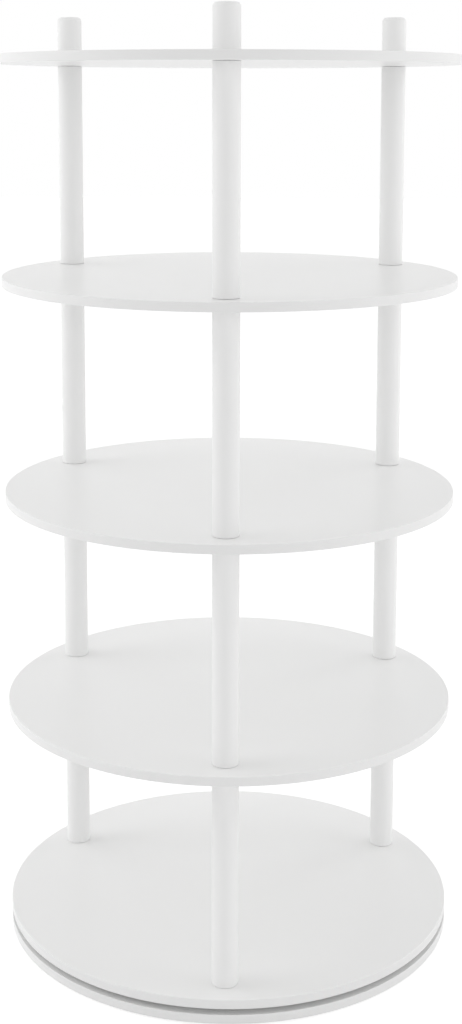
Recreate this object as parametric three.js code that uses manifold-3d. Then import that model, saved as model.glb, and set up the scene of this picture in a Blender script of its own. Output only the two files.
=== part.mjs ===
// Rotating shoe tower: five round shelves on three rows of dowel posts, turning on a ball bearing
// that sits between the lowest shelf and a round base board. Millimetres, +Z up, origin on the floor
// at the centre of the base. One post stands in front, at -Y, and two stand behind.

import Module from 'manifold-3d';
import * as THREE from 'three';
import { mergeVertices } from 'three/addons/utils/BufferGeometryUtils.js';

const wasm = await Module();
wasm.setup();

// Boards: the round base and the five round shelves are cut from the same sheet
const boardRadius = 230;
const boardThickness = 9;
const boardArris = 0.5;
const boardSides = 72;
const shelfClearHeight = 210;
const tierCount = 4;

// Posts and the short finials on top of them
const postRadius = 12.7;
const postRimInset = 32;
const postSides = 24;
const finialLength = 41.5;
const finialRound = 3.5;
const finialRoundSteps = 3;

// Joining hardware: double-ended studs between posts, countersunk bolts under the lowest shelf
const studRadius = 4;
const studReach = 16;
const studTipChamfer = 0.8;
const studSides = 8;
const boltHeadRadius = 8;
const boltHeadRim = 0.6;
const boltRecessRadius = 2.5;
const boltRecessDepth = 3;
const boltRecessSides = 6;
const holeSides = 16;
const boreSides = 12;
const boreSpareDepth = 1;

// Ball bearing turntable between the base board and the lowest shelf
const bearingGap = 6;
const ballCircleRadius = 90;
const ballRadius = 1.75;
const ballCount = 18;
const ballSides = 8;
const ballRings = 4;
const raceClearance = 0.25;
const raceWallOffset = 1;
const raceWidth = 17;
const raceFloatGap = 0.8;
const raceSides = 60;
const grooveSteps = 3;
const cageThickness = 1;
const cageFloatGap = 0.8;
const cageSides = 40;

// Countersunk wood screws that hold the two races
const screwCount = 4;
const screwRadius = 1.75;
const screwLength = 11.5;
const screwHeadRadius = 3.5;
const screwHeadRim = 0.3;
const screwHeadInset = 0.1;
const screwTipTaper = 2.5;
const screwTipRadius = 0.4;
const screwSides = 8;
const screwRecessRadius = 1;
const screwRecessDepth = 1.2;
const screwRecessSides = 4;
const screwSpareDepth = 0.5;
const accessHoleRadius = 7;

// Grip pads under the base board
const padCount = 6;
const padRadius = 15;
const padThickness = 2;
const padRimInset = 35;
const padSides = 16;

// Clearances
const seam = 0.3;
const cutOverrun = 1;

// Circles and heights that follow from the sizes above
const postCircleRadius = boardRadius - postRimInset;
const padCircleRadius = boardRadius - padRimInset;
const baseBottom = padThickness + seam;
const baseTop = baseBottom + boardThickness;
const lowestShelfBottom = baseTop + bearingGap;
const cageHeight = bearingGap - 2 * cageFloatGap;
const shelfSpacing = boardThickness + shelfClearHeight;
const postLength = shelfClearHeight - 2 * seam;

// Directions of the three posts, as seen from above, counter-clockwise from +X
const postPlaces = [
  { side: 'front', angle: -Math.PI / 2 },
  { side: 'right', angle: Math.PI / 6 },
  { side: 'left', angle: Math.PI * 5 / 6 },
];

// Materials
function whiteBoard() {
  return new THREE.MeshStandardMaterial({ color: 0xf2f2f1, roughness: 0.32, metalness: 0 });
}

function whitePost() {
  return new THREE.MeshStandardMaterial({ color: 0xf1f1f0, roughness: 0.4, metalness: 0 });
}

function zincSteel() {
  return new THREE.MeshStandardMaterial({ color: 0xb9bcc0, roughness: 0.35, metalness: 1 });
}

function satinAluminium() {
  return new THREE.MeshStandardMaterial({ color: 0xc4c6c8, roughness: 0.4, metalness: 1 });
}

function whiteNylon() {
  return new THREE.MeshStandardMaterial({ color: 0xe4e3de, roughness: 0.5, metalness: 0 });
}

function greyRubber() {
  return new THREE.MeshStandardMaterial({ color: 0x8d8d8c, roughness: 0.85, metalness: 0 });
}

// A body of revolution about +Z from [radius, height] points
function revolve(points, sides) {
  const profile = points.map(([radius, height]) => new THREE.Vector2(radius, height));
  const geometry = new THREE.LatheGeometry(profile, sides);
  geometry.rotateX(Math.PI / 2);
  return geometry;
}

function toSolid(geometry) {
  const bare = geometry.clone();
  bare.deleteAttribute('normal');
  bare.deleteAttribute('uv');
  const merged = mergeVertices(bare);
  return new wasm.Manifold(new wasm.Mesh({
    numProp: 3,
    vertProperties: new Float32Array(merged.attributes.position.array),
    triVerts: new Uint32Array(merged.index.array),
  }));
}

function toGeometry(solid) {
  const mesh = solid.getMesh();
  const geometry = new THREE.BufferGeometry();
  geometry.setAttribute('position', new THREE.BufferAttribute(mesh.vertProperties, 3));
  geometry.setIndex(new THREE.BufferAttribute(mesh.triVerts, 1));
  geometry.computeVertexNormals();
  return geometry;
}

function cut(geometry, tools) {
  const body = tools.reduce((solid, tool) => solid.subtract(toSolid(tool)), toSolid(geometry));
  return toGeometry(body);
}

function addMesh(group, name, geometry, material) {
  const mesh = new THREE.Mesh(geometry, material);
  mesh.name = name;
  group.add(mesh);
  return mesh;
}

function placeOnCircle(mesh, radius, angle, height) {
  mesh.position.set(radius * Math.cos(angle), radius * Math.sin(angle), height);
  mesh.rotation.z = angle;
}

function moveToCircle(geometry, radius, angle) {
  return geometry.translate(radius * Math.cos(angle), radius * Math.sin(angle), 0);
}

function ringAngles(count, start) {
  return Array.from({ length: count }, (_, index) => start + index * 2 * Math.PI / count);
}

// A plain round bar between two heights
function roundBar(radius, bottom, top, sides) {
  return revolve([[0, bottom], [radius, bottom], [radius, top], [0, top]], sides);
}

// A round board with softened arrises, its underside at height zero
function roundBoard() {
  return revolve([
    [0, 0],
    [boardRadius - boardArris, 0],
    [boardRadius, boardArris],
    [boardRadius, boardThickness - boardArris],
    [boardRadius - boardArris, boardThickness],
    [0, boardThickness],
  ], boardSides);
}

// A countersink with its wide mouth below and its shank hole above
function countersinkCutter(headRadius, headRim, shankRadius, mouth, top, sides) {
  const wide = headRadius + seam;
  const narrow = shankRadius + seam;
  return revolve([
    [0, mouth - cutOverrun],
    [wide, mouth - cutOverrun],
    [wide, mouth + headRim],
    [narrow, mouth + headRim + wide - narrow],
    [narrow, top],
    [0, top],
  ], sides);
}

// Holes for the screws that hold the outer race, in the underside of the lowest shelf
const outerScrewCircle = ballCircleRadius + raceWallOffset + raceWidth / 2;
const innerScrewCircle = ballCircleRadius - raceWallOffset - raceWidth / 2;
const outerScrewAngles = ringAngles(screwCount, Math.PI / screwCount);
const innerScrewAngles = ringAngles(screwCount, 0);
const raceHeight = bearingGap - seam - raceFloatGap;
const screwBite = screwLength - raceHeight - seam + screwHeadInset;

function pilotCutter(bottom, top) {
  return roundBar(screwRadius + seam, bottom, top, screwSides);
}

// Base board: blind pilot holes on top, and one hole to reach the outer screws from below
function baseBoardGeometry() {
  const pilotBottom = boardThickness - screwBite - screwSpareDepth;
  const pilotTop = boardThickness + cutOverrun;
  const pilots = innerScrewAngles.map((angle) =>
    moveToCircle(pilotCutter(pilotBottom, pilotTop), innerScrewCircle, angle));
  const access = moveToCircle(
    roundBar(accessHoleRadius, -cutOverrun, boardThickness + cutOverrun, holeSides),
    outerScrewCircle, outerScrewAngles[0]);
  return cut(roundBoard(), [...pilots, access]);
}

// Lowest shelf: countersunk bolt holes under the posts and blind pilot holes for the outer race
function lowestShelfGeometry() {
  const boltHoles = postPlaces.map(({ angle }) => moveToCircle(
    countersinkCutter(boltHeadRadius, boltHeadRim, studRadius, 0, boardThickness + cutOverrun, holeSides),
    postCircleRadius, angle));
  const pilots = outerScrewAngles.map((angle) => moveToCircle(
    pilotCutter(-cutOverrun, screwBite + screwSpareDepth), outerScrewCircle, angle));
  return cut(roundBoard(), [...boltHoles, ...pilots]);
}

// Any shelf between two posts: three plain holes for the studs
function studdedShelfGeometry() {
  const holes = postPlaces.map(({ angle }) => moveToCircle(
    roundBar(studRadius + seam, -cutOverrun, boardThickness + cutOverrun, holeSides),
    postCircleRadius, angle));
  return cut(roundBoard(), holes);
}

// A blind bore for a stud or a bolt, its mouth at the given height, going up or down
function boreCutter(mouth, direction) {
  const far = mouth + direction * (studReach + boreSpareDepth);
  const near = mouth - direction * cutOverrun;
  return roundBar(studRadius + seam, Math.min(near, far), Math.max(near, far), boreSides);
}

// A post section: a straight dowel with a blind bore in each end
function postGeometry() {
  const dowel = roundBar(postRadius, 0, postLength, postSides);
  return cut(dowel, [boreCutter(0, 1), boreCutter(postLength, -1)]);
}

// A finial: a short dowel with a rounded top and a blind bore below
function finialGeometry() {
  const round = Array.from({ length: finialRoundSteps + 1 }, (_, step) => {
    const turn = step / finialRoundSteps * Math.PI / 2;
    return [
      postRadius - finialRound + finialRound * Math.cos(turn),
      finialLength - finialRound + finialRound * Math.sin(turn),
    ];
  });
  const dowel = revolve([[0, 0], [postRadius, 0], ...round, [0, finialLength]], postSides);
  return cut(dowel, [boreCutter(0, 1)]);
}

// A double-ended stud that passes through a shelf into the posts above and below it
function studGeometry() {
  const length = boardThickness + 2 * (seam + studReach);
  return revolve([
    [0, 0],
    [studRadius - studTipChamfer, 0],
    [studRadius, studTipChamfer],
    [studRadius, length - studTipChamfer],
    [studRadius - studTipChamfer, length],
    [0, length],
  ], studSides);
}

// A countersunk bolt with a hexagon recess, head flush with the underside of the lowest shelf
function shelfBoltGeometry() {
  const coneTop = boltHeadRim + boltHeadRadius - studRadius;
  const length = boardThickness + seam + studReach;
  const shape = revolve([
    [0, 0],
    [boltHeadRadius, 0],
    [boltHeadRadius, boltHeadRim],
    [studRadius, coneTop],
    [studRadius, length - studTipChamfer],
    [studRadius - studTipChamfer, length],
    [0, length],
  ], studSides);
  return cut(shape, [roundBar(boltRecessRadius, -cutOverrun, boltRecessDepth, boltRecessSides)]);
}

// A countersunk wood screw that points up, its head at height zero
function raceScrewGeometry() {
  const coneTop = screwHeadRim + screwHeadRadius - screwRadius;
  const shape = revolve([
    [0, 0],
    [screwHeadRadius, 0],
    [screwHeadRadius, screwHeadRim],
    [screwRadius, coneTop],
    [screwRadius, screwLength - screwTipTaper],
    [screwTipRadius, screwLength],
    [0, screwLength],
  ], screwSides);
  return cut(shape, [roundBar(screwRecessRadius, -cutOverrun, screwRecessDepth, screwRecessSides)]);
}

// The raceway groove's arc, as [radius, height] points round the ball's centre
function groovePoints(side, centreHeight) {
  const grooveRadius = ballRadius + raceClearance;
  const halfAngle = Math.acos(raceWallOffset / grooveRadius);
  return Array.from({ length: grooveSteps + 1 }, (_, step) => {
    const turn = halfAngle - 2 * halfAngle * step / grooveSteps;
    return [
      ballCircleRadius + side * grooveRadius * Math.cos(turn),
      centreHeight + grooveRadius * Math.sin(turn),
    ];
  });
}

// One race: a flat ring with the groove in the wall that faces the balls and four countersunk holes.
// side is -1 for the inner race and 1 for the outer one, and bottom is its height over the base board.
function raceGeometry(side, bottom, screwAngles, screwCircle, headsUp) {
  const top = bottom + raceHeight;
  const wall = ballCircleRadius + side * raceWallOffset;
  const farWall = wall + side * raceWidth;
  const section = [
    [farWall, bottom],
    [farWall, top],
    [wall, top],
    ...groovePoints(side, bearingGap / 2),
    [wall, bottom],
  ];
  const closed = [...section, section[0]];
  const ring = revolve(side > 0 ? closed : closed.reverse(), raceSides);
  const holes = screwAngles.map((angle) => {
    const hole = countersinkCutter(
      screwHeadRadius, screwHeadRim + screwHeadInset, screwRadius, 0, raceHeight + cutOverrun, screwSides);
    if (headsUp) {
      hole.rotateX(Math.PI);
      hole.translate(0, 0, top);
    } else {
      hole.translate(0, 0, bottom);
    }
    return moveToCircle(hole, screwCircle, angle);
  });
  return cut(ring, holes);
}

// The ball cage: a thin strip, taller than the balls that it holds, centred on height zero
function ballCageGeometry() {
  const inner = ballCircleRadius - cageThickness / 2;
  const outer = ballCircleRadius + cageThickness / 2;
  const ring = toSolid(revolve([
    [inner, cageHeight / 2],
    [inner, -cageHeight / 2],
    [outer, -cageHeight / 2],
    [outer, cageHeight / 2],
    [inner, cageHeight / 2],
  ], cageSides));
  const balls = ringAngles(ballCount, Math.PI / ballCount).map((angle) => {
    const ball = new THREE.SphereGeometry(ballRadius, ballSides, ballRings);
    ball.rotateX(Math.PI / 2);
    ball.rotateZ(angle);
    return toSolid(moveToCircle(ball, ballCircleRadius, angle));
  });
  return toGeometry(balls.reduce((solid, ball) => solid.add(ball), ring));
}

function padGeometry() {
  return roundBar(padRadius, 0, padThickness, padSides);
}

function addBase(group) {
  const board = addMesh(group, 'base_board', baseBoardGeometry(), whiteBoard());
  board.position.z = baseBottom;
  ringAngles(padCount, Math.PI / padCount).forEach((angle, index) => {
    const pad = addMesh(group, `grip_pad_${index + 1}`, padGeometry(), greyRubber());
    placeOnCircle(pad, padCircleRadius, angle, 0);
  });
}

function addBearing(group) {
  const bearing = new THREE.Group();
  bearing.position.z = baseTop;
  group.add(bearing);

  const outerBottom = bearingGap - seam - raceHeight;
  const innerTop = seam + raceHeight;
  addMesh(bearing, 'inner_race',
    raceGeometry(-1, seam, innerScrewAngles, innerScrewCircle, true), satinAluminium());
  addMesh(bearing, 'outer_race',
    raceGeometry(1, outerBottom, outerScrewAngles, outerScrewCircle, false), satinAluminium());
  const cage = addMesh(bearing, 'ball_cage', ballCageGeometry(), whiteNylon());
  cage.position.z = bearingGap / 2;

  innerScrewAngles.forEach((angle, index) => {
    const screw = addMesh(bearing, `inner_race_screw_${index + 1}`, raceScrewGeometry(), zincSteel());
    placeOnCircle(screw, innerScrewCircle, angle, innerTop - screwHeadInset);
    screw.rotation.x = Math.PI;
  });
  outerScrewAngles.forEach((angle, index) => {
    const screw = addMesh(bearing, `outer_race_screw_${index + 1}`, raceScrewGeometry(), zincSteel());
    placeOnCircle(screw, outerScrewCircle, angle, outerBottom + screwHeadInset);
  });
}

// One tier: the shelf, and the posts that stand on it
function addTier(group, tier) {
  const shelfBottom = lowestShelfBottom + tier * shelfSpacing;
  const isLowest = tier === 0;
  const geometry = isLowest ? lowestShelfGeometry() : studdedShelfGeometry();
  const shelf = addMesh(group, `shelf_${tier + 1}`, geometry, whiteBoard());
  shelf.position.z = shelfBottom;

  postPlaces.forEach(({ side, angle }) => {
    const joiner = isLowest
      ? addMesh(group, `shelf_bolt_${side}`, shelfBoltGeometry(), zincSteel())
      : addMesh(group, `stud_${tier + 1}_${side}`, studGeometry(), zincSteel());
    const joinerBottom = isLowest ? shelfBottom : shelfBottom - seam - studReach;
    placeOnCircle(joiner, postCircleRadius, angle, joinerBottom);

    const standsOnTop = tier === tierCount;
    const upright = standsOnTop
      ? addMesh(group, `finial_${side}`, finialGeometry(), whitePost())
      : addMesh(group, `post_${tier + 1}_${side}`, postGeometry(), whitePost());
    placeOnCircle(upright, postCircleRadius, angle, shelfBottom + boardThickness + seam);
  });
}

const tower = new THREE.Group();
addBase(tower);
addBearing(tower);
for (let tier = 0; tier <= tierCount; tier += 1) {
  addTier(tower, tier);
}

export default tower;
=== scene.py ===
import math
import random

import bmesh
import bpy
from mathutils import Matrix, Vector


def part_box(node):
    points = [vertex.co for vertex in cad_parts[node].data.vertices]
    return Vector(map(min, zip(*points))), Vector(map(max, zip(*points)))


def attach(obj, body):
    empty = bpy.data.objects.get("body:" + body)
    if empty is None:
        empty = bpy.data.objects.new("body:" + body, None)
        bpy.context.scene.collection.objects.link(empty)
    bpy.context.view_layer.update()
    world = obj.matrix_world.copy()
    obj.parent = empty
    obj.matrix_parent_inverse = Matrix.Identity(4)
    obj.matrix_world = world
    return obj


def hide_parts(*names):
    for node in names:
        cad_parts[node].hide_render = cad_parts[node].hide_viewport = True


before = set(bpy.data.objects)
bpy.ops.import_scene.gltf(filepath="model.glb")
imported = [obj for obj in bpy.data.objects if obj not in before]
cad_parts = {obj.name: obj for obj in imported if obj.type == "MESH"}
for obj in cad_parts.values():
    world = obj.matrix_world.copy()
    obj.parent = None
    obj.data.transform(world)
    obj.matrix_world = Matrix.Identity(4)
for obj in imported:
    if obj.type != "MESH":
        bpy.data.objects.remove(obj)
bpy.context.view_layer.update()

SIDES = ("front", "right", "left")
SHELF_COUNT = 5
TIER_COUNT = SHELF_COUNT - 1
PAD_COUNT = 6
SCREW_COUNT = 4
BALL_COUNT = 18
FULL_TURN = 2 * math.pi

# Camera, from the photograph's perspective: metres and degrees, and millimetres for sensor and lens
CAMERA_DISTANCE = 1.6384
CAMERA_HEIGHT = 0.8635
CAMERA_SIDE_ANGLE = 0.856
CAMERA_YAW = -0.325
CAMERA_PITCH = 8.133
CAMERA_ROLL = 0.0785
SENSOR = 36.0
LENS = 56.946
SHIFT_X = 0.01037
SHIFT_Y = -0.18147

# Sizes that the frame's boxes don't give, in metres
SEAM = 0.0003
CUT_OVERRUN = 0.001
SHELF_TOP_ARRIS = 0.0005
BOARD_ARRIS = 0.0002
FINIAL_ROUND = 0.0043
BORE_DEPTH = 0.017
ACCESS_HOLE_RADIUS = 0.007
PILOT_SPARE = 0.0005
RACE_WIDTH = 0.017
RACE_ARRIS = 0.0002
RACE_CLEARANCE = 0.00025
BALL_RADIUS = 0.00175
CAGE_THICKNESS = 0.001
CAGE_WINDOW_GAP = 0.00015
PAD_ARRIS = 0.0004
PAD_GROOVE_WIDTH = 0.001
PAD_GROOVE_DEPTH = 0.0004
PAD_GROOVE_SHARES = (0.3, 0.52, 0.74)

# Fasteners, in metres; the taper is the cross's foot as a share of its mouth
STUD_PITCH = 0.00125
STUD_THREAD_DEPTH = 0.0006
STUD_TIP_CHAMFER = 0.0008
BOLT_HEAD_RIM = 0.0006
BOLT_RECESS_RADIUS = 0.0025
BOLT_RECESS_DEPTH = 0.003
BOLT_RECESS_SIDES = 6
SCREW_RADIUS = 0.00175
SCREW_PITCH = 0.0012
SCREW_THREAD_DEPTH = 0.00045
SCREW_HEAD_RIM = 0.0003
SCREW_HEAD_INSET = 0.0001
SCREW_TIP_TAPER = 0.0025
SCREW_TIP_RADIUS = 0.0004
SCREW_CROSS_REACH = 0.0015
SCREW_CROSS_WIDTH = 0.0006
SCREW_CROSS_DEPTH = 0.0012
SCREW_CROSS_TAPER = 0.45
SCREW_CROSS_ARMS = 4

# How finely the round pieces are cut, and which of their faces are shaded flat
BOARD_SIDES = 240
POST_SIDES = 64
RACE_SIDES = 180
HOLE_SIDES = 48
BALL_SIDES = 24
THREAD_SIDES = 24
RINGS_PER_PITCH = 6
ARC_STEPS = 5
BALL_STEPS = 12
LEVEL_FACE = 0.9999
ROUND_DEGREES = 32
THREAD_DEGREES = 70

# Studio
FLOOR_HALF = 12.0
FLOOR_BOUNCE = 0.93
FLOOR_SEEN = 0.30
FLOOR_LIFT = 0.84
SEEN_WHITE = 1.0
LAMP_AIM_HEIGHT = 0.5
AMBIENT = 0.211
PATCH_SHARPNESS = 6.0

# The studio's soft patches of light: degrees round from +X, degrees over the horizon, strength
SOFT_PATCHES = (
    (45, 8, 0.50),
    (135, 8, 0.84),
    (180, 8, 0.35),
    (270, 8, 1.15),
    (315, 8, 0.46),
    (0, 42, 0.36),
    (45, 42, 0.28),
    (135, 42, 0.17),
    (180, 42, 0.44),
    (0, 90, 0.54),
)

# Lamps: where each stands, its width and height, in metres, and its power in watts
LAMPS = (
    ("key", (-2.2, 0.2, 0.9), (0.9, 1.6), 6.8),
    ("high", (-2.2, -0.5, 1.6), (0.9, 1.6), 4.0),
    ("fill", (2.2, -0.3, 1.0), (1.5, 2.0), 8.2),
    ("back_key", (-1.8, 1.2, 1.0), (0.9, 1.6), 3.1),
    ("back_fill", (1.8, 1.2, 1.0), (0.9, 1.6), 4.5),
)

# Finishes: colours as shares of light, and roughness from the smoothest spot to the roughest
PAINT_DARK = (0.895, 0.895, 0.891)
PAINT_LIGHT = (0.905, 0.905, 0.902)
PAINT_EDGE = (0.865, 0.865, 0.862)
PAINT_IOR = 1.32
BOARD_ROUGHNESS = (0.28, 0.33)
EDGE_EXTRA_ROUGHNESS = 0.08
POST_ROUGHNESS = (0.33, 0.44)
RUBBER_GREYS = (0.20, 0.27)
RUBBER_ROUGHNESS = (0.7, 0.9)
ZINC_DARK = (0.52, 0.53, 0.54)
ZINC_LIGHT = (0.66, 0.67, 0.68)
ZINC_ROUGHNESS = (0.24, 0.4)
BALL_GREYS = (0.62, 0.68)
BALL_ROUGHNESS = (0.08, 0.16)
ALUMINIUM_DARK = (0.60, 0.61, 0.62)
ALUMINIUM_LIGHT = (0.70, 0.71, 0.72)
ALUMINIUM_ROUGHNESS = (0.26, 0.42)
NYLON_DARK = (0.70, 0.69, 0.64)
NYLON_LIGHT = (0.78, 0.77, 0.73)
NYLON_ROUGHNESS = (0.4, 0.55)

# The upright share of a face's normal where the sawn edge's look begins, and where it is complete
EDGE_TILT = (0.4, 0.05)

# Textures: the share of the noise that counts, its cells to a metre and its finer layers
GRAIN_STRETCH = (1, 1, 0.04)
NOISE_SPAN = (0.3, 0.7)
SCUFF_SPAN = (0.3, 0.72)
BOARD_CLOUD = {"scale": 7, "detail": 3}
BOARD_SCUFF = {"scale": 34, "detail": 6, "roughness": 0.62}
BOARD_PEEL = {"scale": 520, "detail": 2}
BOARD_WAVE = {"scale": 24, "detail": 2}
POST_GRAIN = {"scale": 420, "detail": 4, "roughness": 0.6}
POST_CLOUD = {"scale": 16, "detail": 3}
POST_PEEL = {"scale": 640, "detail": 2}
RUBBER_GRIT = {"scale": 900, "detail": 3}
ZINC_SPANGLE = {"scale": 240, "detail": 3}
BALL_HAZE = {"scale": 700, "detail": 2}
ALUMINIUM_RINGS = {"Scale": 2600, "Detail": 4}
NYLON_MOTTLING = {"scale": 130, "detail": 3}

# Relief: its strength, and its height in metres
BOARD_PEEL_RELIEF = {"strength": 0.06, "distance": 0.0001}
BOARD_WAVE_RELIEF = {"strength": 0.02, "distance": 0.0003}
POST_GRAIN_RELIEF = {"strength": 0.12, "distance": 0.0002}
POST_PEEL_RELIEF = {"strength": 0.10, "distance": 0.0001}
RUBBER_RELIEF = {"strength": 0.4, "distance": 0.0002}
ZINC_RELIEF = {"strength": 0.15, "distance": 0.0001}
ALUMINIUM_RELIEF = {"strength": 0.2, "distance": 0.0001}
NYLON_RELIEF = {"strength": 0.2, "distance": 0.0001}

# The angle at which each screw came to rest
SCREW_TURN_SEED = 5
screw_turns = random.Random(SCREW_TURN_SEED)


# Mesh helpers
def new_object(name, mesh):
    thing = bpy.data.objects.new(name, mesh)
    bpy.context.scene.collection.objects.link(thing)
    return thing


def smooth_by_angle(mesh, degrees):
    """Smooth shading on the round faces; level faces stay flat, so that the arris doesn't shade them."""
    mesh.set_sharp_from_angle(angle=math.radians(degrees))
    for face in mesh.polygons:
        face.use_smooth = abs(face.normal.z) < LEVEL_FACE
    mesh.update()


def ring_of_points(work, radius_at, height, sides):
    """One round of vertices, or a single one where the radius is zero."""
    if radius_at(0) == 0:
        return [work.verts.new((0, 0, height))]
    ring = []
    for index in range(sides):
        turn = FULL_TURN * index / sides
        radius = radius_at(turn)
        ring.append(work.verts.new((radius * math.cos(turn), radius * math.sin(turn), height)))
    return ring


def join_rings(work, low, high, sides):
    """The faces between two rounds; a level end is closed by one face, and a pointed one by a fan."""
    for tip, rim in ((low, high), (high, low)):
        if len(tip) == 1 and tip[0].co.z == rim[0].co.z:
            work.faces.new(rim)
            work.verts.remove(tip[0])
            return
    for index in range(sides):
        after = (index + 1) % sides
        if len(low) == 1:
            work.faces.new((low[0], high[after], high[index]))
        elif len(high) == 1:
            work.faces.new((low[index], low[after], high[0]))
        else:
            work.faces.new((low[index], low[after], high[after], high[index]))


def finish_mesh(work, name, degrees):
    bmesh.ops.recalc_face_normals(work, faces=work.faces)
    mesh = bpy.data.meshes.new(name)
    work.to_mesh(mesh)
    work.free()
    smooth_by_angle(mesh, degrees)
    return mesh


def lathe_mesh(name, profile, sides, degrees=ROUND_DEGREES):
    """A closed body of revolution about +Z from (radius, height) points, counter-clockwise."""
    work = bmesh.new()
    rings = []
    for radius, height in profile:
        rings.append(ring_of_points(work, lambda turn: radius, height, sides))
    pairs = list(zip(rings, rings[1:]))
    if len(rings[0]) > 1:
        pairs.append((rings[-1], rings[0]))
    for low, high in pairs:
        join_rings(work, low, high, sides)
    return finish_mesh(work, name, degrees)


def threaded_mesh(name, stations, pitch, depth):
    """A bar about +Z with a spiral thread, from stations: radius, height, share of the thread's depth."""
    work = bmesh.new()
    rings = []

    def add_ring(radius, height, share):
        def radius_at(turn):
            phase = (height / pitch - turn / FULL_TURN) % 1
            valley = 1 - abs(2 * phase - 1)
            return radius - share * depth * valley
        rings.append(ring_of_points(work, radius_at, height, THREAD_SIDES))

    for start, end in zip(stations, stations[1:]):
        steps = 1
        if start[2] or end[2]:
            steps = max(1, round((end[1] - start[1]) / pitch * RINGS_PER_PITCH))
        for step in range(steps):
            add_ring(*(a + (b - a) * step / steps for a, b in zip(start, end)))
    add_ring(*stations[-1])
    for low, high in zip(rings, rings[1:]):
        join_rings(work, low, high, THREAD_SIDES)
    return finish_mesh(work, name, THREAD_DEGREES)


def prism_mesh(name, outline, top_share, bottom, top):
    """A straight-sided plug between two heights, its top outline a share of its bottom one."""
    count = len(outline)
    points = [(x, y, bottom) for x, y in outline]
    points += [(x * top_share, y * top_share, top) for x, y in outline]
    faces = [tuple(reversed(range(count))), tuple(range(count, 2 * count))]
    faces += [(i, (i + 1) % count, (i + 1) % count + count, i + count) for i in range(count)]
    mesh = bpy.data.meshes.new(name)
    mesh.from_pydata(points, [], faces)
    return mesh


def arc(centre_radius, centre_height, size, start, end, steps=ARC_STEPS):
    """Points of a round corner, angles in degrees from the outward direction."""
    points = []
    for step in range(steps + 1):
        turn = math.radians(start + (end - start) * step / steps)
        points.append((centre_radius + size * math.cos(turn), centre_height + size * math.sin(turn)))
    return points


def drilled(name, mesh, cutters, degrees=ROUND_DEGREES):
    """The mesh with each cutter mesh, given with its place, taken away."""
    body = new_object(name + "_blank", mesh)
    tools = []
    for cutter, place in cutters:
        tool = new_object(name + "_tool", cutter)
        tool.location = place
        tools.append(tool)
        cut = body.modifiers.new("hole", "BOOLEAN")
        cut.operation = "DIFFERENCE"
        cut.solver = "EXACT"
        cut.object = tool
    bpy.context.view_layer.update()
    shaped = body.evaluated_get(bpy.context.evaluated_depsgraph_get())
    result = bpy.data.meshes.new_from_object(shaped)
    result.name = name
    for thing in [body, *tools]:
        bpy.data.objects.remove(thing)
    smooth_by_angle(result, degrees)
    return result


def on_circle(radius, turn, height=0):
    return Vector((radius * math.cos(turn), radius * math.sin(turn), height))


def ring_turns(count, start):
    return [start + FULL_TURN * index / count for index in range(count)]


# Places and sizes read from the frame
def node_middle(node):
    low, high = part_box(node)
    return (low + high) / 2


def node_size(node):
    low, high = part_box(node)
    return high - low


def post_axis(side):
    middle = node_middle("post_1_" + side)
    return Vector((middle.x, middle.y, 0))


BOARD_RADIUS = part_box("shelf_1")[1].x
BOARD_THICKNESS = node_size("shelf_1").z
BASE_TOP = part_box("base_board")[1].z
SHELF_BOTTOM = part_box("shelf_1")[0].z
POST_RADIUS = node_size("post_1_front").y / 2
STUD_RADIUS = node_size("stud_2_front").x / 2
BORE_RADIUS = STUD_RADIUS + SEAM
BOLT_HEAD_RADIUS = node_size("shelf_bolt_front").x / 2
SCREW_HEAD_RADIUS = node_size("inner_race_screw_1").x / 2
SCREW_LENGTH = node_size("inner_race_screw_1").z
CAGE_HEIGHT = node_size("ball_cage").z
BALL_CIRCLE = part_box("ball_cage")[1].y - BALL_RADIUS
BALL_HEIGHT = node_middle("ball_cage").z
RACE_WALL_OFFSET = BALL_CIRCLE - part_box("inner_race")[1].x
INNER_SCREW_CIRCLE = node_middle("inner_race_screw_1").x
OUTER_SCREW_CIRCLE = node_middle("outer_race_screw_1").xy.length
INNER_SCREW_TURNS = ring_turns(SCREW_COUNT, 0)
OUTER_SCREW_TURNS = ring_turns(SCREW_COUNT, FULL_TURN / SCREW_COUNT / 2)


# Shader graphs
class Graph:
    """Adds nodes to a node tree; an input is given a plain value or another node's output."""

    def __init__(self, tree):
        self.nodes = tree.nodes
        self.links = tree.links

    def node(self, kind, inputs=(), **settings):
        made = self.nodes.new("ShaderNode" + kind)
        for name, value in settings.items():
            setattr(made, name, value)
        for name, value in dict(inputs).items():
            self.set(made.inputs[name], value)
        return made

    def set(self, socket, value):
        if isinstance(value, bpy.types.NodeSocket):
            self.links.new(value, socket)
        else:
            socket.default_value = value

    def math(self, operation, *values):
        return self.node("Math", enumerate(values), operation=operation).outputs["Value"]

    def vector_math(self, operation, *values):
        return self.node("VectorMath", enumerate(values), operation=operation)

    def noise(self, point, scale, detail, roughness=0.5):
        inputs = {"Vector": point, "Scale": scale, "Detail": detail, "Roughness": roughness}
        return self.node("TexNoise", inputs).outputs["Fac"]

    def ramp(self, value, span, result):
        """The value's stretch over a span, turned into one from the result's first number to its last."""
        inputs = {"Value": value, "From Min": span[0], "From Max": span[1]}
        inputs |= {"To Min": result[0], "To Max": result[1]}
        return self.node("MapRange", inputs).outputs["Result"]

    def blend(self, share, first, second):
        """A colour between two greys or colours."""
        inputs = {"Factor": share, "A": colour(first), "B": colour(second)}
        return self.node("Mix", inputs, data_type="RGBA").outputs["Result"]

    def bump(self, height, strength, distance, under=None):
        inputs = {"Height": height, "Strength": strength, "Distance": distance}
        if under is not None:
            inputs["Normal"] = under
        return self.node("Bump", inputs).outputs["Normal"]


def colour(value):
    """A colour socket's value from a grey, from three shares of light, or from another output."""
    if isinstance(value, bpy.types.NodeSocket):
        return value
    if isinstance(value, (int, float)):
        return (value, value, value, 1)
    return (*value, 1)


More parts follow.
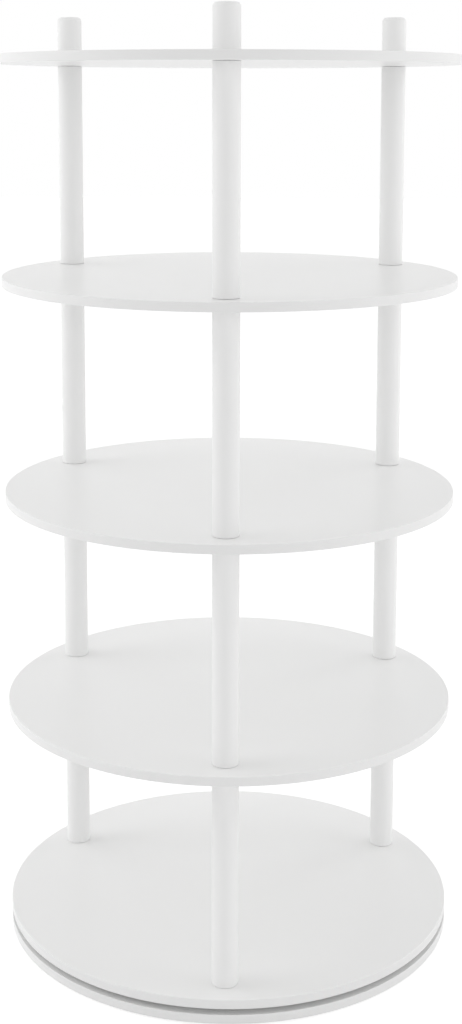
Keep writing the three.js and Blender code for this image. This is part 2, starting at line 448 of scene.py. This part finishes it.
class Finish(Graph):
    """A material's graph, with its surface shader and a place on the object for its textures."""

    def __init__(self, name):
        self.material = bpy.data.materials.new(name)
        self.material.use_nodes = True
        super().__init__(self.material.node_tree)
        self.shader = self.nodes["Principled BSDF"]

    def point(self, stretch=(1, 1, 1)):
        """Object coordinates, stretched along each axis, and moved by chance from piece to piece."""
        where = self.node("TexCoord").outputs["Object"]
        chance = self.node("ObjectInfo").outputs["Random"]
        moved = self.vector_math("ADD", where, chance).outputs["Vector"]
        return self.node("Mapping", {"Vector": moved, "Scale": stretch}).outputs["Vector"]

    def surface(self, **inputs):
        for name, value in inputs.items():
            self.set(self.shader.inputs[name.replace("_", " ")], value)
        return self.material


# Materials
def painted_board():
    """White satin paint on fibreboard: orange peel, soft scuffs, and a drier sawn edge."""
    finish = Finish("painted_board")
    point = finish.point()
    normal = finish.node("TexCoord").outputs["Normal"]
    facing_up = finish.node("SeparateXYZ", {"Vector": normal}).outputs["Z"]
    edge = finish.ramp(finish.math("ABSOLUTE", facing_up), EDGE_TILT, (0, 1))
    cloud = finish.noise(point, **BOARD_CLOUD)
    scuff = finish.noise(point, **BOARD_SCUFF)
    face_roughness = finish.ramp(scuff, SCUFF_SPAN, BOARD_ROUGHNESS)
    roughness = finish.math("MULTIPLY_ADD", edge, EDGE_EXTRA_ROUGHNESS, face_roughness)
    peel = finish.bump(finish.noise(point, **BOARD_PEEL), **BOARD_PEEL_RELIEF)
    wave = finish.noise(point, **BOARD_WAVE)
    relief = finish.bump(wave, **BOARD_WAVE_RELIEF, under=peel)
    paint = finish.blend(edge, finish.blend(cloud, PAINT_DARK, PAINT_LIGHT), PAINT_EDGE)
    return finish.surface(Base_Color=paint, Roughness=roughness, Normal=relief, IOR=PAINT_IOR)


def painted_post():
    """White satin paint on a turned dowel, with the grain just showing along its length."""
    finish = Finish("painted_post")
    fine = finish.point()
    grain = finish.noise(finish.point(GRAIN_STRETCH), **POST_GRAIN)
    cloud = finish.noise(fine, **POST_CLOUD)
    ribs = finish.bump(grain, **POST_GRAIN_RELIEF)
    peel = finish.noise(fine, **POST_PEEL)
    relief = finish.bump(peel, **POST_PEEL_RELIEF, under=ribs)
    return finish.surface(
        Base_Color=finish.blend(cloud, PAINT_DARK, PAINT_LIGHT),
        Roughness=finish.ramp(grain, NOISE_SPAN, POST_ROUGHNESS),
        Normal=relief, IOR=PAINT_IOR)


def rubber():
    """Grey rubber with a fine grit."""
    finish = Finish("pad_rubber")
    grit = finish.noise(finish.point(), **RUBBER_GRIT)
    return finish.surface(
        Base_Color=finish.blend(grit, *RUBBER_GREYS),
        Roughness=finish.ramp(grit, NOISE_SPAN, RUBBER_ROUGHNESS),
        Normal=finish.bump(grit, **RUBBER_RELIEF))


def zinc_steel():
    """Zinc-plated steel with its faint spangle."""
    finish = Finish("zinc_steel")
    spangle = finish.noise(finish.point(), **ZINC_SPANGLE)
    return finish.surface(
        Base_Color=finish.blend(spangle, ZINC_DARK, ZINC_LIGHT),
        Roughness=finish.ramp(spangle, NOISE_SPAN, ZINC_ROUGHNESS), Metallic=1,
        Normal=finish.bump(spangle, **ZINC_RELIEF))


def ball_steel():
    """Polished bearing steel with a faint haze."""
    finish = Finish("ball_steel")
    haze = finish.noise(finish.point(), **BALL_HAZE)
    return finish.surface(
        Base_Color=finish.blend(haze, *BALL_GREYS),
        Roughness=finish.ramp(haze, NOISE_SPAN, BALL_ROUGHNESS),
        Metallic=1)


def turned_aluminium():
    """Aluminium with the fine rings that the lathe leaves."""
    finish = Finish("turned_aluminium")
    where = finish.node("TexCoord").outputs["Object"]
    flat = finish.vector_math("MULTIPLY", where, (1, 1, 0)).outputs["Vector"]
    radius = finish.vector_math("LENGTH", flat).outputs["Value"]
    noise = finish.node("TexNoise", {"W": radius, **ALUMINIUM_RINGS}, noise_dimensions="1D")
    rings = noise.outputs["Fac"]
    return finish.surface(
        Base_Color=finish.blend(rings, ALUMINIUM_DARK, ALUMINIUM_LIGHT),
        Roughness=finish.ramp(rings, NOISE_SPAN, ALUMINIUM_ROUGHNESS), Metallic=1,
        Normal=finish.bump(rings, **ALUMINIUM_RELIEF))


def nylon():
    """Natural nylon, a little mottled."""
    finish = Finish("cage_nylon")
    mottling = finish.noise(finish.point(), **NYLON_MOTTLING)
    return finish.surface(
        Base_Color=finish.blend(mottling, NYLON_DARK, NYLON_LIGHT),
        Roughness=finish.ramp(mottling, NOISE_SPAN, NYLON_ROUGHNESS),
        Normal=finish.bump(mottling, **NYLON_RELIEF))


# Pieces
def dress(piece, material, body, node):
    if not piece.data.materials:
        piece.data.materials.append(material)
    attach(piece, body)
    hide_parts(node)


def board_blank(top_arris):
    """A round board with its edges broken, the top one by the given radius."""
    low = arc(BOARD_RADIUS - BOARD_ARRIS, BOARD_ARRIS, BOARD_ARRIS, -90, 0)
    high = arc(BOARD_RADIUS - top_arris, BOARD_THICKNESS - top_arris, top_arris, 0, 90)
    return lathe_mesh("board", [(0, 0), *low, *high, (0, BOARD_THICKNESS)], BOARD_SIDES)


def hole_mesh(radius, bottom, top, sides=HOLE_SIDES):
    return lathe_mesh("hole", [(0, bottom), (radius, bottom), (radius, top), (0, top)], sides)


def countersink_mesh(head_radius, head_rim, shank_radius, length, mouth=0, up=1):
    """A hole's cutter: its wide mouth at one height, its narrow shank going up or down from there."""
    wide = head_radius + SEAM
    narrow = shank_radius + SEAM
    steps = (
        (0, -CUT_OVERRUN), (wide, -CUT_OVERRUN), (wide, head_rim), (narrow, head_rim + wide - narrow),
        (narrow, length + CUT_OVERRUN), (0, length + CUT_OVERRUN),
    )
    profile = [(radius, mouth + up * height) for radius, height in steps]
    return lathe_mesh("countersink", profile, HOLE_SIDES)


def make_boards(material):
    shelf = board_blank(SHELF_TOP_ARRIS)
    base = board_blank(BOARD_ARRIS)
    through = hole_mesh(BORE_RADIUS, -CUT_OVERRUN, BOARD_THICKNESS + CUT_OVERRUN)
    studded = drilled("studded_board", shelf, [(through, post_axis(side)) for side in SIDES])
    for number in range(2, SHELF_COUNT + 1):
        add_board(f"shelf_{number}", studded, material, "tower", f"shelf_{number}_board")
    add_board("shelf_1", lowest_board(shelf), material, "tower", "shelf_1_board")
    add_board("base_board", base_board(base), material, "base", "base_disc")


def lowest_board(blank):
    """The lowest shelf: countersunk holes for the post bolts, pilot holes for the outer race's screws."""
    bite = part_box("outer_race_screw_1")[1].z - SHELF_BOTTOM + PILOT_SPARE
    bolt_hole = countersink_mesh(BOLT_HEAD_RADIUS, BOLT_HEAD_RIM, STUD_RADIUS, BOARD_THICKNESS)
    pilot = hole_mesh(SCREW_RADIUS + SEAM, -CUT_OVERRUN, bite)
    cutters = [(bolt_hole, post_axis(side)) for side in SIDES]
    cutters += [(pilot, on_circle(OUTER_SCREW_CIRCLE, turn)) for turn in OUTER_SCREW_TURNS]
    return drilled("lowest_board", blank, cutters)


def base_board(blank):
    """The base board: pilot holes on top, and the hole through which the outer screws are reached."""
    bite = BASE_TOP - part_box("inner_race_screw_1")[0].z + PILOT_SPARE
    pilot = hole_mesh(SCREW_RADIUS + SEAM, BOARD_THICKNESS - bite, BOARD_THICKNESS + CUT_OVERRUN)
    access = hole_mesh(ACCESS_HOLE_RADIUS, -CUT_OVERRUN, BOARD_THICKNESS + CUT_OVERRUN)
    cutters = [(pilot, on_circle(INNER_SCREW_CIRCLE, turn)) for turn in INNER_SCREW_TURNS]
    cutters.append((access, on_circle(OUTER_SCREW_CIRCLE, OUTER_SCREW_TURNS[0])))
    return drilled("base_board_drilled", blank, cutters)


def add_board(node, mesh, material, body, name):
    piece = new_object(name, mesh)
    piece.location.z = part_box(node)[0].z
    dress(piece, material, body, node)


def post_profile(length, top):
    bore = [(0, BORE_DEPTH), (BORE_RADIUS, BORE_DEPTH), (BORE_RADIUS, 0)]
    if top == "round":
        crown = arc(POST_RADIUS - FINIAL_ROUND, length - FINIAL_ROUND, FINIAL_ROUND, 0, 90)
        return [*bore, (POST_RADIUS, 0), *crown, (0, length)]
    upper = [(BORE_RADIUS, length), (BORE_RADIUS, length - BORE_DEPTH), (0, length - BORE_DEPTH)]
    return [*bore, (POST_RADIUS, 0), (POST_RADIUS, length), *upper]


def make_posts(material):
    post = lathe_mesh("post", post_profile(node_size("post_1_front").z, "plain"), POST_SIDES)
    finial = lathe_mesh("finial", post_profile(node_size("finial_front").z, "round"), POST_SIDES)
    for side in SIDES:
        for tier in range(1, TIER_COUNT + 1):
            stand_on_node(f"post_{tier}_{side}", "_dowel", post, material, "tower")
        stand_on_node(f"finial_{side}", "_dowel", finial, material, "tower")


def stand_on_node(node, ending, mesh, material, body, turn=0, hangs=False):
    """A copy of a mesh in a node's place, standing on its lowest point or hanging from its highest."""
    low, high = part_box(node)
    piece = new_object(node + ending, mesh)
    piece.location = ((low.x + high.x) / 2, (low.y + high.y) / 2, high.z if hangs else low.z)
    piece.rotation_euler = (math.pi if hangs else 0, 0, turn)
    dress(piece, material, body, node)


def make_pads(material):
    radius = node_size("grip_pad_1").y / 2
    thickness = node_size("grip_pad_1").z
    rim = radius - PAD_ARRIS
    grooves = []
    for share in PAD_GROOVE_SHARES:
        inner = radius * share
        outer = inner + PAD_GROOVE_WIDTH
        grooves += [(inner, 0), (inner, PAD_GROOVE_DEPTH), (outer, PAD_GROOVE_DEPTH), (outer, 0)]
    low = arc(rim, PAD_ARRIS, PAD_ARRIS, -90, 0)
    high = arc(rim, thickness - PAD_ARRIS, PAD_ARRIS, 0, 90)
    pad = lathe_mesh("pad", [(0, 0), *grooves, *low, *high, (0, thickness)], POST_SIDES)
    for number in range(1, PAD_COUNT + 1):
        stand_on_node(f"grip_pad_{number}", "_disc", pad, material, "base")


def stud_mesh():
    length = node_size("stud_2_front").z
    tip = STUD_RADIUS - STUD_TIP_CHAMFER
    stations = [
        (0, 0, 0), (tip, 0, 0), (STUD_RADIUS, STUD_TIP_CHAMFER, 1),
        (STUD_RADIUS, length - STUD_TIP_CHAMFER, 1), (tip, length, 0), (0, length, 0),
    ]
    return threaded_mesh("stud", stations, STUD_PITCH, STUD_THREAD_DEPTH)


def bolt_mesh():
    """A countersunk bolt, its head at height zero, with a hexagon recess."""
    length = node_size("shelf_bolt_front").z
    neck = BOLT_HEAD_RIM + BOLT_HEAD_RADIUS - STUD_RADIUS
    tip = STUD_RADIUS - STUD_TIP_CHAMFER
    stations = [
        (0, 0, 0), (BOLT_HEAD_RADIUS, 0, 0), (BOLT_HEAD_RADIUS, BOLT_HEAD_RIM, 0),
        (STUD_RADIUS, neck, 0), (STUD_RADIUS, neck + STUD_PITCH, 1),
        (STUD_RADIUS, length - STUD_TIP_CHAMFER, 1), (tip, length, 0), (0, length, 0),
    ]
    recess = hole_mesh(BOLT_RECESS_RADIUS, -CUT_OVERRUN, BOLT_RECESS_DEPTH, BOLT_RECESS_SIDES)
    bolt = threaded_mesh("bolt_blank", stations, STUD_PITCH, STUD_THREAD_DEPTH)
    return drilled("bolt", bolt, [(recess, (0, 0, 0))], THREAD_DEGREES)


def cross_outline():
    """A cross of two bars, counter-clockwise, from its reach and its bars' width."""
    half = SCREW_CROSS_WIDTH / 2
    arm = ((SCREW_CROSS_REACH, -half), (SCREW_CROSS_REACH, half), (half, half))
    outline = []
    for number in range(SCREW_CROSS_ARMS):
        turn = Matrix.Rotation(FULL_TURN * number / SCREW_CROSS_ARMS, 2)
        outline += [tuple(turn @ Vector(corner)) for corner in arm]
    return outline


def screw_mesh():
    """A countersunk wood screw, its head at height zero, with a cross recess and a tapering tip."""
    neck = SCREW_HEAD_RIM + SCREW_HEAD_RADIUS - SCREW_RADIUS
    stations = [
        (0, 0, 0), (SCREW_HEAD_RADIUS, 0, 0), (SCREW_HEAD_RADIUS, SCREW_HEAD_RIM, 0),
        (SCREW_RADIUS, neck, 0), (SCREW_RADIUS, neck + SCREW_PITCH, 1),
        (SCREW_RADIUS, SCREW_LENGTH - SCREW_TIP_TAPER, 1), (SCREW_TIP_RADIUS, SCREW_LENGTH, 0),
        (0, SCREW_LENGTH, 0),
    ]
    recess = prism_mesh("cross", cross_outline(), SCREW_CROSS_TAPER, -CUT_OVERRUN, SCREW_CROSS_DEPTH)
    screw = threaded_mesh("screw_blank", stations, SCREW_PITCH, SCREW_THREAD_DEPTH)
    return drilled("screw", screw, [(recess, (0, 0, 0))], THREAD_DEGREES)


def make_fasteners(material):
    stud = stud_mesh()
    bolt = bolt_mesh()
    screw = screw_mesh()
    for side in SIDES:
        for number in range(2, SHELF_COUNT + 1):
            turn = screw_turns.uniform(0, FULL_TURN)
            stand_on_node(f"stud_{number}_{side}", "_rod", stud, material, "tower", turn)
        turn = screw_turns.uniform(0, FULL_TURN)
        stand_on_node(f"shelf_bolt_{side}", "_bolt", bolt, material, "tower", turn)
    for number in range(1, SCREW_COUNT + 1):
        node = f"outer_race_screw_{number}"
        turn = screw_turns.uniform(0, FULL_TURN)
        stand_on_node(node, "_screw", screw, material, "tower", turn)
        node = f"inner_race_screw_{number}"
        turn = screw_turns.uniform(0, FULL_TURN)
        stand_on_node(node, "_screw", screw, material, "base", turn, hangs=True)


def race_profile(side, bottom, top):
    """A race's section, side -1 for the inner one and 1 for the outer, with the balls' groove."""
    wall = BALL_CIRCLE + side * RACE_WALL_OFFSET
    far = wall + side * RACE_WIDTH
    reach = BALL_RADIUS + RACE_CLEARANCE
    half = math.degrees(math.acos(RACE_WALL_OFFSET / reach))
    groove = [
        (BALL_CIRCLE + side * (radius - BALL_CIRCLE), height)
        for radius, height in arc(BALL_CIRCLE, BALL_HEIGHT, reach, half, -half, BALL_STEPS)
    ]
    arris = side * RACE_ARRIS
    return [
        (far, bottom + RACE_ARRIS), (far, top - RACE_ARRIS), (far - arris, top),
        (wall + arris, top), (wall, top - RACE_ARRIS), *groove,
        (wall, bottom + RACE_ARRIS), (wall + arris, bottom), (far - arris, bottom),
    ]


def make_race(node, side, body, circle, turns, material):
    low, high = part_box(node)
    heads_up = side < 0
    mouth = high.z if heads_up else low.z
    hole = countersink_mesh(
        SCREW_HEAD_RADIUS, SCREW_HEAD_RIM + SCREW_HEAD_INSET, SCREW_RADIUS, high.z - low.z,
        mouth, -1 if heads_up else 1)
    ring = lathe_mesh(node + "_ring", race_profile(side, low.z, high.z), RACE_SIDES)
    mesh = drilled(node + "_drilled", ring, [(hole, on_circle(circle, turn)) for turn in turns])
    dress(new_object(node + "_ring", mesh), material, body, node)


def make_cage(cage_material, ball_material):
    """The cage: a thin nylon strip with a round window for each steel ball."""
    inner = BALL_CIRCLE - CAGE_THICKNESS / 2
    outer = BALL_CIRCLE + CAGE_THICKNESS / 2
    low = BALL_HEIGHT - CAGE_HEIGHT / 2
    high = BALL_HEIGHT + CAGE_HEIGHT / 2
    strip = lathe_mesh("cage", [(inner, high), (inner, low), (outer, low), (outer, high)], RACE_SIDES)
    window = ball_mesh(BALL_RADIUS + CAGE_WINDOW_GAP)
    turns = ring_turns(BALL_COUNT, FULL_TURN / BALL_COUNT / 2)
    places = [on_circle(BALL_CIRCLE, turn, BALL_HEIGHT) for turn in turns]
    cage = drilled("cage_windowed", strip, [(window, place) for place in places])
    dress(new_object("ball_cage_strip", cage), cage_material, "ball_cage", "ball_cage")
    ball = ball_mesh(BALL_RADIUS)
    for number, place in enumerate(places, 1):
        piece = new_object(f"bearing_ball_{number}", ball)
        piece.location = place
        dress(piece, ball_material, "ball_cage", "ball_cage")


def ball_mesh(radius):
    profile = arc(0, 0, radius, -90, 90, BALL_STEPS)
    profile[0] = (0, -radius)
    profile[-1] = (0, radius)
    return lathe_mesh("ball", profile, BALL_SIDES)


# Studio
def seen_rays(graph):
    """1 for camera, glossy and transmission rays, which see the background, and 0 for all others."""
    path = graph.node("LightPath")
    share = path.outputs["Is Camera Ray"]
    for ray in ("Is Glossy Ray", "Is Transmission Ray"):
        share = graph.math("MAXIMUM", share, path.outputs[ray])
    return share


def make_floor():
    """A white floor: it bounces light as pale paint does, and the camera sees it almost white."""
    half = FLOOR_HALF
    corners = [(-half, -half, 0), (half, -half, 0), (half, half, 0), (-half, half, 0)]
    mesh = bpy.data.meshes.new("floor")
    mesh.from_pydata(corners, [], [(0, 1, 2, 3)])
    finish = Finish("studio_floor")
    finish.surface(Base_Color=colour(FLOOR_BOUNCE), Roughness=1, Specular_IOR_Level=0)
    paper = finish.node("BsdfDiffuse", {"Color": colour(FLOOR_SEEN)})
    lift = finish.node("Emission", {"Strength": FLOOR_LIFT})
    seen = finish.node("AddShader", {0: paper.outputs["BSDF"], 1: lift.outputs["Emission"]})
    shown = finish.node("MixShader", {
        "Fac": seen_rays(finish), 1: finish.shader.outputs["BSDF"], 2: seen.outputs["Shader"]})
    finish.set(finish.nodes["Material Output"].inputs["Surface"], shown.outputs["Shader"])
    mesh.materials.append(finish.material)
    new_object("floor", mesh)


def make_world():
    """A white studio: the object is lit by soft patches, and the camera and gloss see plain white."""
    world = bpy.data.worlds.new("studio")
    bpy.context.scene.world = world
    world.use_nodes = True
    graph = Graph(world.node_tree)
    direction = graph.node("TexCoord").outputs["Generated"]
    total = AMBIENT
    for heading, height, strength in SOFT_PATCHES:
        turn = math.radians(heading)
        rise = math.radians(height)
        towards = (math.cos(rise) * math.cos(turn), math.cos(rise) * math.sin(turn), math.sin(rise))
        facing = graph.vector_math("DOT_PRODUCT", direction, towards).outputs["Value"]
        patch = graph.math("POWER", graph.math("MAXIMUM", facing, 0), PATCH_SHARPNESS)
        total = graph.math("MULTIPLY_ADD", patch, strength, total)
    lit = graph.nodes["Background"]
    lit.inputs["Color"].default_value = colour(1)
    graph.set(lit.inputs["Strength"], total)
    seen = graph.node("Background", {"Color": colour(1), "Strength": SEEN_WHITE})
    shown = graph.node("MixShader", {
        "Fac": seen_rays(graph), 1: lit.outputs["Background"], 2: seen.outputs["Background"]})
    graph.set(graph.nodes["World Output"].inputs["Surface"], shown.outputs["Shader"])


def make_lamps():
    """Soft lamps, kept out of the gloss, which shows the plain white studio instead."""
    aim = Vector((0, 0, LAMP_AIM_HEIGHT))
    for name, place, size, power in LAMPS:
        data = bpy.data.lights.new(name, "AREA")
        data.shape = "RECTANGLE"
        data.size, data.size_y = size
        data.energy = power
        lamp = bpy.data.objects.new(name, data)
        bpy.context.scene.collection.objects.link(lamp)
        lamp.location = place
        lamp.visible_glossy = False
        lamp.rotation_mode = "QUATERNION"
        lamp.rotation_quaternion = (aim - Vector(place)).to_track_quat("-Z", "Y")


def make_camera():
    data = bpy.data.cameras.new("camera")
    data.sensor_width = SENSOR
    data.lens = LENS
    data.shift_x = SHIFT_X
    data.shift_y = SHIFT_Y
    camera = bpy.data.objects.new("camera", data)
    bpy.context.scene.collection.objects.link(camera)
    side = math.radians(CAMERA_SIDE_ANGLE)
    place = Vector((CAMERA_DISTANCE * math.sin(side), -CAMERA_DISTANCE * math.cos(side), CAMERA_HEIGHT))
    heading = Matrix.Rotation(side - math.radians(CAMERA_YAW), 4, "Z")
    pitch = Matrix.Rotation(math.radians(90 - CAMERA_PITCH), 4, "X")
    roll = Matrix.Rotation(math.radians(CAMERA_ROLL), 4, "Z")
    camera.matrix_world = Matrix.Translation(place) @ heading @ pitch @ roll
    bpy.context.scene.camera = camera


make_camera()
make_world()
make_floor()
make_lamps()
make_boards(painted_board())
make_posts(painted_post())
make_pads(rubber())
make_fasteners(zinc_steel())
aluminium = turned_aluminium()
make_race("inner_race", -1, "base", INNER_SCREW_CIRCLE, INNER_SCREW_TURNS, aluminium)
make_race("outer_race", 1, "tower", OUTER_SCREW_CIRCLE, OUTER_SCREW_TURNS, aluminium)
make_cage(nylon(), ball_steel())

bpy.context.scene.view_settings.view_transform = "Standard"
